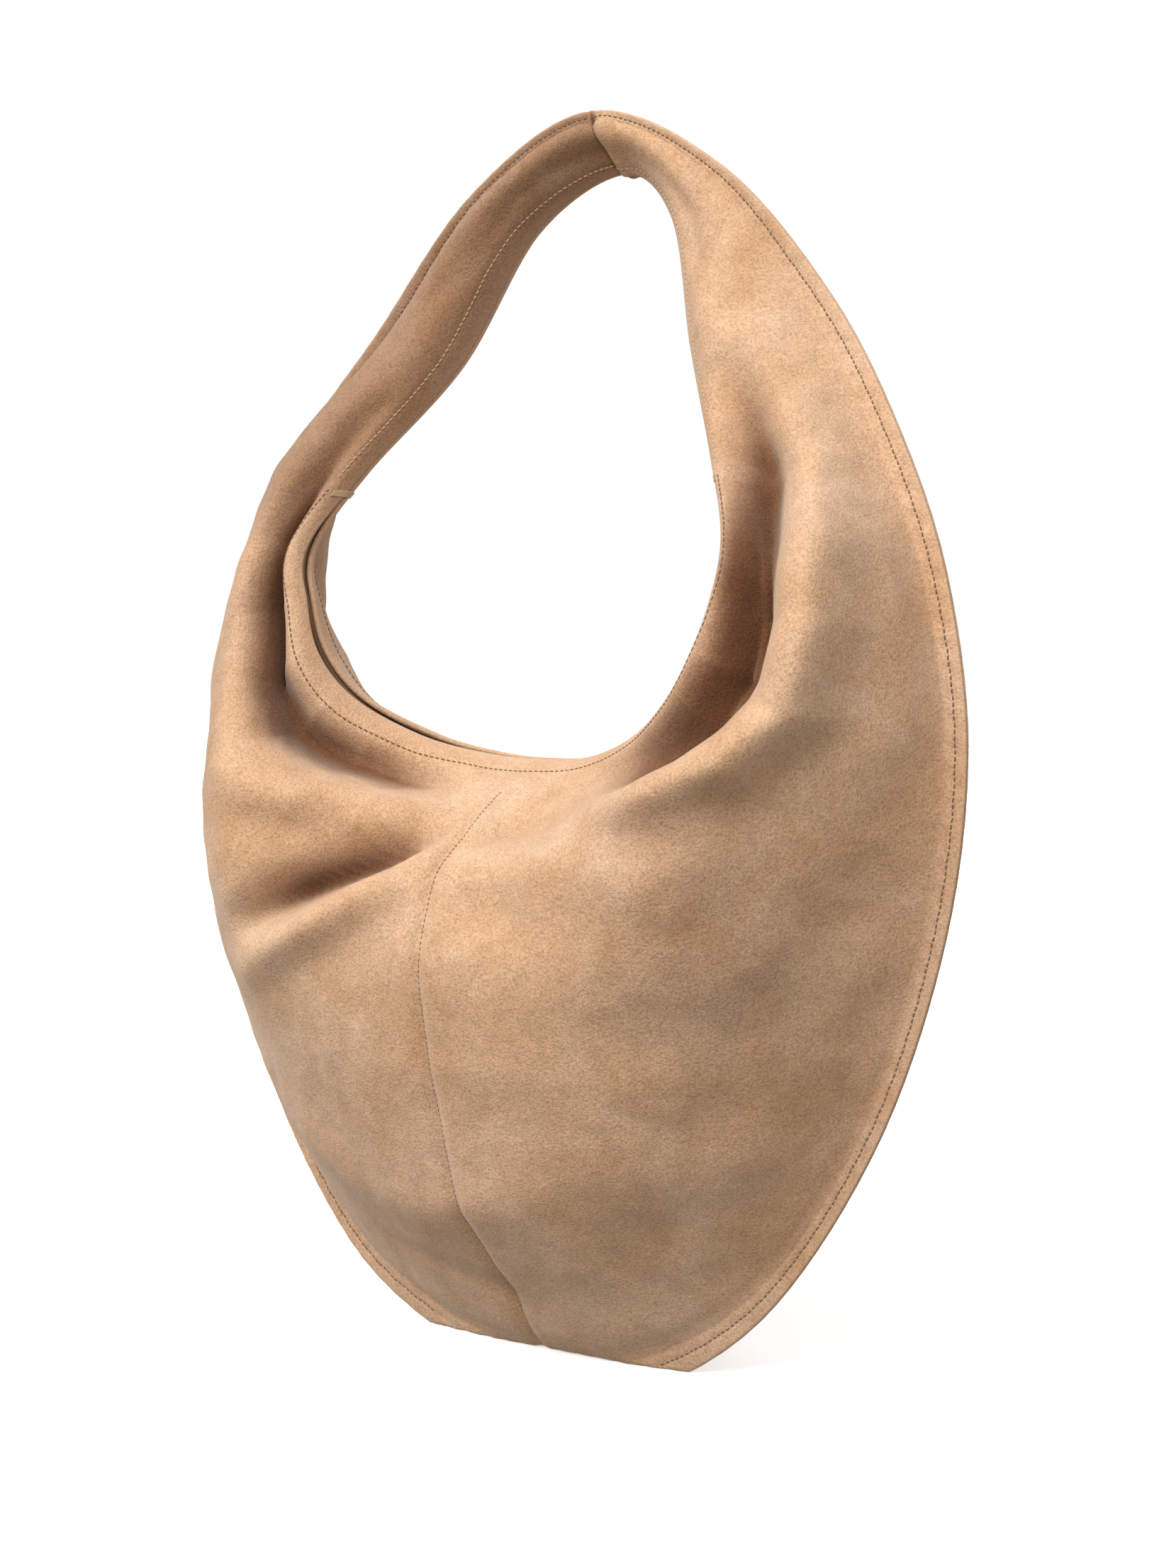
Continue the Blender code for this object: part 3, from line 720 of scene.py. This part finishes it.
def inner_layer(face, k, v, out):
    """Points and normals of a layer inside the suede: it keeps clear of the folds without their creases."""
    place = filled_shape(face, k, v)
    normal = facing_out(filled_shape, face, k, v)
    from_lip = (1 - v) * width(k)
    aim = normal * FOLD_AIM
    aim /= np.linalg.norm(aim, axis=-1, keepdims=True)
    depth = fold_height(face, place, LAYER_WIDER) * free_share(face, k, v)
    sink = LAYER_SEAM * np.exp(-(place[..., 0] / LAYER_SEAM_REACH) ** 2)
    sink = sink * smooth((from_lip - LAYER_FROM_LIP) / LAYER_LIP_FADE)
    return place + depth[..., None] * aim + (out - sink)[..., None] * normal, normal


def leather_finish(name, light, dark):
    """Smooth aniline calf: fine pebbled grain, uneven dye and a satin wax."""
    material, tree, shader = blank_finish(name)
    place = node(tree, "ShaderNodeAttribute", attribute_name="rest_place").outputs["Vector"]
    dye = node(tree, "ShaderNodeTexNoise", {"Vector": place, "Scale": 45.0, "Detail": 4.0, "Roughness": 0.6})
    tree.links.new(ramp(tree, dye.outputs["Fac"], ((0.32, dark), (0.68, light))), shader.inputs["Base Color"])
    pebble = node(tree, "ShaderNodeTexVoronoi", {"Vector": place, "Scale": 1100.0},
                  feature="DISTANCE_TO_EDGE")
    bump = node(tree, "ShaderNodeBump",
                {"Height": pebble.outputs["Distance"], "Strength": 0.35, "Distance": 0.0003})
    tree.links.new(bump.outputs[0], shader.inputs["Normal"])
    shader.inputs["Roughness"].default_value = 0.48
    shader.inputs["Specular IOR Level"].default_value = 0.4
    return material


def facing_line(k):
    """v of the facing's lower edge, narrower where the panel itself is narrow."""
    return 1 - FACING_WIDTH * np.minimum(1, width(k) / FULL_WIDTH) / width(k)


def full_width(k_end, columns):
    """Columns of a sheet that lines one face from side to side."""
    return np.linspace(-k_end, k_end, columns)


tan_leather = leather_finish("tan_leather", (0.520, 0.330, 0.165, 1), (0.400, 0.235, 0.110, 1))
FACING_END = 6.62
for face_name, face in FACES:
    k_row = full_width(FACING_END, FACING_COLUMNS)
    low, top = facing_line(k_row), 1 - FACING_DROP / width(k_row)
    v = np.stack([low + (top - low) * share for share in np.linspace(0, 1, FACING_LINES)], -1)
    k = np.repeat(k_row[:, None], v.shape[1], 1)
    points, normals = inner_layer(face, k, v, FACING_OUT)
    edge, edge_normal = points[:, -1], normals[:, -1]
    reach = edge - points[:, -2]
    reach /= np.linalg.norm(reach, axis=-1, keepdims=True)
    rolled, rolled_normals = roll_over(edge, edge_normal, reach, FACING_ROLL, FACING_TURN)
    points = np.concatenate([points, np.stack(rolled, 1)], 1)
    normals = np.concatenate([normals, np.stack(rolled_normals, 1)], 1)
    piece = closed_sheet(f"{face_name}_lip_facing", points, normals, FACING, face * -1)
    piece.data.materials.append(tan_leather)
    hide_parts(f"{face_name}_facing")
    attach(piece, "bag")

# ---- Lining and slip pocket ---------------------------------------------------------------------
# Plain cotton twill, 0.6 mm thick, sewn to the lower edge of each facing and lying against the suede.
# A slip pocket of the same cotton hangs on the back lining, open at its top.
LINING = 0.0006
LINING_OUT = -0.0048
LINING_TOP = 0.0020
LINING_END = 6.10
LINING_SPAN = (0.14, 1.0)
LINING_COLUMNS = 260
LINING_LINES = 44
POCKET_OUT = -0.0072
POCKET_END = 2.10
POCKET_SPAN = (0.30, 0.84)


def cotton_finish(name, light, dark):
    """Cotton twill: fine diagonal ribs with slubs, and soft wear."""
    material, tree, shader = blank_finish(name)
    place = node(tree, "ShaderNodeAttribute", attribute_name="rest_place").outputs["Vector"]
    rib = node(tree, "ShaderNodeTexWave",
               {"Vector": place, "Scale": 420.0, "Distortion": 0.6, "Detail": 2.0},
               bands_direction="DIAGONAL")
    slub = node(tree, "ShaderNodeTexNoise", {"Vector": place, "Scale": 60.0, "Detail": 4.0})
    colour = ramp(tree, rib.outputs["Fac"], ((0.2, dark), (0.8, light)))
    colour = mixed(tree, "MULTIPLY", 1.0, colour,
                   ramp(tree, slub.outputs["Fac"], ((0.3, grey(0.86)), (0.7, grey(1.06)))))
    tree.links.new(colour, shader.inputs["Base Color"])
    bump = node(tree, "ShaderNodeBump", {"Height": rib.outputs["Fac"], "Strength": 0.5, "Distance": 0.0002})
    tree.links.new(bump.outputs[0], shader.inputs["Normal"])
    shader.inputs["Roughness"].default_value = 0.88
    shader.inputs["Sheen Weight"].default_value = 0.15
    return material


twill = cotton_finish("cotton_twill", (0.560, 0.420, 0.270, 1), (0.430, 0.310, 0.185, 1))


def lining_piece(name, face, k_end, span, out, node_name):
    """A sheet of twill over a span of the way from the flange to the facing."""
    k_row = full_width(k_end, LINING_COLUMNS)
    fold = fold_line(k_row)
    top = facing_line(k_row) - LINING_TOP / width(k_row)
    v = np.stack([fold + (top - fold) * share for share in np.linspace(*span, LINING_LINES)], -1)
    k = np.repeat(k_row[:, None], v.shape[1], 1)
    points, normals = inner_layer(face, k, v, out)
    piece = closed_sheet(name, points, normals, LINING, face * -1)
    piece.data.materials.append(twill)
    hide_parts(node_name)
    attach(piece, "bag")


for face_name, face in FACES:
    lining_piece(f"{face_name}_twill_lining", face, LINING_END, LINING_SPAN, LINING_OUT,
                 f"{face_name}_lining")
lining_piece("slip_pocket", BACK, POCKET_END, POCKET_SPAN, POCKET_OUT, "inner_pocket")

# ---- Magnetic snap ------------------------------------------------------------------------------
# Two nickel-plated discs behind the middle of the facings, 16 mm across, pressed in before the lining
# was sewn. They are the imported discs, with a plated finish.
NICKEL = (0.72, 0.71, 0.68, 1)
NICKEL_DULL = (0.56, 0.55, 0.52, 1)
nickel, tree, shader = blank_finish("nickel_plate")
place = node(tree, "ShaderNodeTexCoord").outputs["Object"]
wear = node(tree, "ShaderNodeTexNoise", {"Vector": place, "Scale": 900.0, "Detail": 3.0}).outputs["Fac"]
tree.links.new(ramp(tree, wear, ((0.3, NICKEL_DULL), (0.7, NICKEL))), shader.inputs["Base Color"])
tree.links.new(ramp(tree, wear, ((0.3, grey(0.22)), (0.7, grey(0.38)))), shader.inputs["Roughness"])
shader.inputs["Metallic"].default_value = 1.0
for face_name, face in FACES:
    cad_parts[f"{face_name}_magnet"].material_slots[0].material = nickel

# ---- Stay tapes ---------------------------------------------------------------------------------
# A woven cotton tape inside each side of the strap, sewn in at the tack and at the top, so that the
# suede can't stretch on the shoulder.
TAPE = 0.0010
TAPE_FROM = 7.22
TAPE_SHORT = 0.02
TAPE_SHARE = 0.16
TAPE_COLUMNS = 90
TAPE_LINES = 7
tape_cotton = cotton_finish("tape_cotton", (0.780, 0.730, 0.640, 1), (0.620, 0.570, 0.480, 1))
for side_name, side in SIDES:
    k_row = np.linspace(TAPE_FROM, TOP_K - TAPE_SHORT, TAPE_COLUMNS)
    v_row = np.linspace(0.5 - TAPE_SHARE / 2, 0.5 + TAPE_SHARE / 2, TAPE_LINES)
    k, v = np.meshgrid(k_row * side, v_row, indexing="ij")
    points = (suede(FRONT, k, v) + suede(BACK, k, v)) / 2
    piece = closed_sheet(f"stay_tape_{side_name}", points, facing_out(suede, FRONT, k, v), TAPE, side)
    piece.data.materials.append(tape_cotton)
    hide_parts(f"strap_stay_{side_name}")
    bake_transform(piece)

# ---- Topstitching -------------------------------------------------------------------------------
# Polyester thread in a lock stitch of 3 mm: a brown row 6 mm inside the outer edge through both panels,
# but for the stretch that the bag stands on, a brown row 5 mm from each lip, and a cream one along the
# inner edge of the strap.
TACK_K = 6.80
PITCH = 0.0030
STITCH_LENGTH = 0.0024
THREAD_RADIUS = 0.00040
STITCH_SLANT = math.radians(5)
RING = 6
# Rings of a stitch from end to end: how far along, in its length; how high and how thick, in its radius.
STITCH_RINGS = (
    (-0.50, -0.9, 0.50), (-0.36, 0.1, 0.95), (0.0, 0.3, 1.0), (0.36, 0.1, 0.95), (0.50, -0.9, 0.50),
)


def thread_finish(name, tint, shade):
    """Spun polyester: fine twisted strands that catch the light, darker between them."""
    material, tree, shader = blank_finish(name)
    place = node(tree, "ShaderNodeTexCoord").outputs["Object"]
    twist = node(tree, "ShaderNodeTexWave",
                 {"Vector": place, "Scale": 900.0, "Distortion": 1.5, "Detail": 1.0},
                 bands_direction="DIAGONAL")
    tree.links.new(ramp(tree, twist.outputs["Fac"], ((0.15, shade), (0.75, tint))),
                   shader.inputs["Base Color"])
    bump = node(tree, "ShaderNodeBump", {"Height": twist.outputs["Fac"], "Strength": 0.6, "Distance": 0.0002})
    tree.links.new(bump.outputs[0], shader.inputs["Normal"])
    shader.inputs["Roughness"].default_value = 0.55
    shader.inputs["Sheen Weight"].default_value = 0.2
    return material


# Partly the thread's colour, partly painted shade: its brown is dark so that the stitches show the shade of
# their holes.
thread_with_painted_shade = thread_finish("thread_with_painted_shade", (0.220, 0.120, 0.062, 1), (0.095, 0.050, 0.025, 1))
cream_thread = thread_finish("cream_thread", (0.650, 0.470, 0.290, 1), (0.380, 0.250, 0.140, 1))


def stitches(name, points, normals, pitch, length, radius, material, slant=0.0):
    """A row of separate stitches along points, each an arched thread that dives in at both ends."""
    run = np.concatenate([[0], np.cumsum(np.linalg.norm(np.diff(points, axis=0), axis=1))])
    centres = np.arange(pitch / 2, run[-1], pitch)

    def at(values, where):
        return np.stack([np.interp(where, run, values[:, i]) for i in range(3)], -1)

    middle, up = at(points, centres), at(normals, centres)
    ahead = at(points, centres + length / 2) - at(points, centres - length / 2)
    ahead /= np.linalg.norm(ahead, axis=1, keepdims=True)
    up -= (up * ahead).sum(1, keepdims=True) * ahead
    up /= np.linalg.norm(up, axis=1, keepdims=True)
    beside = np.cross(up, ahead)
    ahead = ahead * math.cos(slant) + beside * math.sin(slant)
    beside = np.cross(up, ahead)
    vertices, faces = [], []
    angles = np.arange(RING) * 2 * np.pi / RING
    for along, rise, girth in STITCH_RINGS:
        centre = middle + ahead * along * length + up * rise * radius
        ring = centre[:, None] + girth * radius * (np.cos(angles)[:, None] * up[:, None]
                                                   + np.sin(angles)[:, None] * beside[:, None])
        vertices.append(ring)
    vertices = np.stack(vertices, 1)
    count = len(STITCH_RINGS) * RING
    for r in range(len(STITCH_RINGS) - 1):
        for s in range(RING):
            a, b = r * RING + s, r * RING + (s + 1) % RING
            faces.append((a, a + RING, b + RING, b))
    quads = np.array(faces)
    every = (quads[None] + (np.arange(len(centres)) * count)[:, None, None]).reshape(-1, 4).tolist()
    for start in range(0, len(centres) * count, count):
        every.append(tuple(range(start, start + RING)))
        every.append(tuple(range(start + count - 1, start + count - 1 - RING, -1)))
    mesh = bpy.data.meshes.new(name)
    mesh.from_pydata(vertices.reshape(-1, 3).tolist(), [], every)
    mesh.shade_smooth()
    mesh.materials.append(material)
    return in_scene(name, mesh)


def row(face, k, line):
    """Points and normals on the outside of the suede along a line of v."""
    return layer(face, k, line, SUEDE / 2), facing_out(suede, face, k, line)


FINE = 1400


def over_top(k_from):
    """Fine steps of k from the right side, over the top of the strap and down the left side."""
    return np.concatenate([np.linspace(k_from, TOP_K, FINE), np.linspace(-TOP_K, -k_from, FINE)])


BASE_END = 1.1
STRAP_START = TACK_K + 0.1
ring_k = over_top(BASE_END)
lip_k = np.linspace(-TACK_K, TACK_K, 2 * FINE)
strap_k = over_top(STRAP_START)
for face_name, face in FACES:
    points, normals = row(face, ring_k, edge_stitch(ring_k))
    piece = stitches(f"{face_name}_edge_stitches", points, normals, PITCH, STITCH_LENGTH, THREAD_RADIUS,
                     thread_with_painted_shade, STITCH_SLANT * face)
    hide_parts(f"{face_name}_edge_thread_left", f"{face_name}_edge_thread_right",
                f"{face_name}_strap_edge_thread")
    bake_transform(piece)
    points, normals = row(face, lip_k, lip_stitch(lip_k))
    piece = stitches(f"{face_name}_lip_stitches", points, normals, PITCH, STITCH_LENGTH, THREAD_RADIUS,
                     thread_with_painted_shade, STITCH_SLANT * face)
    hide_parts(f"{face_name}_lip_thread")
    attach(piece, "bag")
    points, normals = row(face, strap_k, lip_stitch(strap_k))
    piece = stitches(f"{face_name}_strap_stitches", points, normals, PITCH, STITCH_LENGTH, THREAD_RADIUS,
                     cream_thread, STITCH_SLANT * face)
    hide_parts(f"{face_name}_strap_inner_thread")
    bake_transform(piece)

# ---- Seam threads and bar tacks -----------------------------------------------------------------
# The halves of each face are sewn right sides together, so only short ladder stitches show deep in the
# groove, down the middle and across the top of the strap. A cream bar tack closes each end of the mouth.
LADDER_PITCH = 0.0026
LADDER_LENGTH = 0.0016
SEAM_THREAD = 0.00022
# The two seams: where on k, from and to where on v, and points enough to follow it.
SEAMS = (("centre", 0.0, 0.08, 0.955, 500), ("top", TOP_K - 1e-6, 0.24, 0.90, 60))
for face_name, face in FACES:
    for seam, k_seam, low, high, count in SEAMS:
        v_row = np.linspace(low, high, count)
        points, normals = row(face, np.full(count, k_seam), v_row)
        piece = stitches(f"{face_name}_{seam}_seam_thread", points, normals, LADDER_PITCH, LADDER_LENGTH,
                         SEAM_THREAD, thread_with_painted_shade)
        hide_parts(f"{face_name}_{seam}_thread")
        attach(piece, "bag" if seam == "centre" else "strap")

TACK_PASSES = 7
TACK_SPAN = 0.0032
TACK_THREAD = 0.00030
TACK_DEPTH = 0.0030
# along k, how far inside the mouth's end a tack lies, and the step that gives its direction
TACK_STEP = 0.05
TACK_OUT = SUEDE / 2 + 0.0004
TACK_LIFT = 0.0008
TACK_MIDDLE_LIFT = 0.0010
for side_name, side in SIDES:
    k_tack = side * (TACK_K - TACK_STEP)
    inside = 1 - TACK_DEPTH / width(k_tack)
    front_in, front_top = (layer(FRONT, k_tack, line, TACK_OUT) for line in (inside, 1.0))
    back_in, back_top = (layer(BACK, k_tack, line, TACK_OUT) for line in (inside, 1.0))
    lift = (front_top - front_in) / np.linalg.norm(front_top - front_in)
    path = [front_in, front_top + lift * TACK_LIFT, (front_top + back_top) / 2 + lift * TACK_MIDDLE_LIFT,
            back_top + lift * TACK_LIFT, back_in]
    along = layer(FRONT, k_tack + TACK_STEP, 1.0) - layer(FRONT, k_tack - TACK_STEP, 1.0)
    along /= np.linalg.norm(along)
    curve = bpy.data.curves.new(f"end_tack_{side_name}", "CURVE")
    curve.dimensions = "3D"
    curve.bevel_depth = TACK_THREAD
    curve.bevel_resolution = 2
    curve.use_fill_caps = True
    for step in np.linspace(-0.5, 0.5, TACK_PASSES):
        line = curve.splines.new("NURBS")
        line.points.add(len(path) - 1)
        line.use_endpoint_u = True
        for target, point in zip(line.points, path):
            target.co = (*(point + along * step * TACK_SPAN), 1)
    curve.materials.append(cream_thread)
    piece = in_scene(f"end_tack_{side_name}", curve)
    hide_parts(f"bar_tack_{side_name}")
    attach(piece, "bag")
